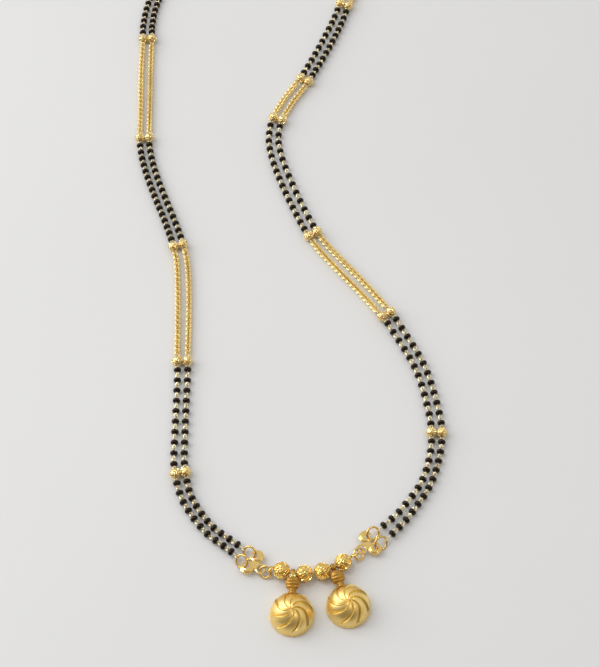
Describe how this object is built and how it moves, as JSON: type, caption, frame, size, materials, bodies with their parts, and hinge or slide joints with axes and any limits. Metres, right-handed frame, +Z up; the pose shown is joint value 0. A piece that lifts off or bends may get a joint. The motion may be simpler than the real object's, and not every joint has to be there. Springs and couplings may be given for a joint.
{
  "type": "mangalsutra",
  "caption": "Wedding necklace of black bead strands and gold chain, with a front bar of cut gold balls that carries hollow fluted dome pendants; worn round the neck.",
  "frame": {"origin": "middle of the laid necklace's box, on the surface that it lies on", "axes": "+Z up from the surface; +Y from the pendants towards the clasp; +X to the right when the clasp is at the top"},
  "size_m": [0.0958, 0.277, 0.0057],
  "materials": {
    "black_glass": "glossy",
    "cut_gold": "polished, diamond cut",
    "satin_gold": "satin",
    "polished_gold": "polished",
    "pale_gold_wire": "polished",
    "gold_chain": "polished"
  },
  "bodies": {
    "root": {"bar_wire": "polished_gold", "pendant_left": "satin_gold", "pendant_right": "satin_gold", "hook": "polished_gold", "bar_ball_1": "cut_gold", "bar_ball_2": "cut_gold", "bar_ball_3": "cut_gold", "bar_ball_4": "cut_gold", "link_ring_left": "polished_gold", "connector_left": "polished_gold", "end_ring_left": "polished_gold", "strand_ring_left_inner": "polished_gold", "strand_ring_left_outer": "polished_gold", "black_beads_left_1": "black_glass", "bead_wire_left_1": "pale_gold_wire", "black_beads_left_2": "black_glass", "bead_wire_left_2": "pale_gold_wire", "black_beads_left_3": "black_glass", "bead_wire_left_3": "pale_gold_wire", "chain_left_1_inner": "gold_chain", "chain_left_1_outer": "gold_chain", "chain_left_2_inner": "gold_chain", "chain_left_2_outer": "gold_chain", "chain_left_3_inner": "gold_chain", "chain_left_3_outer": "gold_chain", "spacer_left_1": "cut_gold", "spacer_left_2": "cut_gold", "spacer_left_3": "cut_gold", "spacer_left_4": "cut_gold", "spacer_left_5": "cut_gold", "spacer_left_6": "cut_gold", "link_ring_right": "polished_gold", "connector_right": "polished_gold", "end_ring_right": "polished_gold", "strand_ring_right_inner": "polished_gold", "strand_ring_right_outer": "polished_gold", "black_beads_right_1": "black_glass", "bead_wire_right_1": "pale_gold_wire", "black_beads_right_2": "black_glass", "bead_wire_right_2": "pale_gold_wire", "black_beads_right_3": "black_glass", "bead_wire_right_3": "pale_gold_wire", "chain_right_1_inner": "gold_chain", "chain_right_1_outer": "gold_chain", "chain_right_2_inner": "gold_chain", "chain_right_2_outer": "gold_chain", "chain_right_3_inner": "gold_chain", "chain_right_3_outer": "gold_chain", "spacer_right_1": "cut_gold", "spacer_right_2": "cut_gold", "spacer_right_3": "cut_gold", "spacer_right_4": "cut_gold", "spacer_right_5": "cut_gold", "spacer_right_6": "cut_gold"}
  },
  "joints": []
}
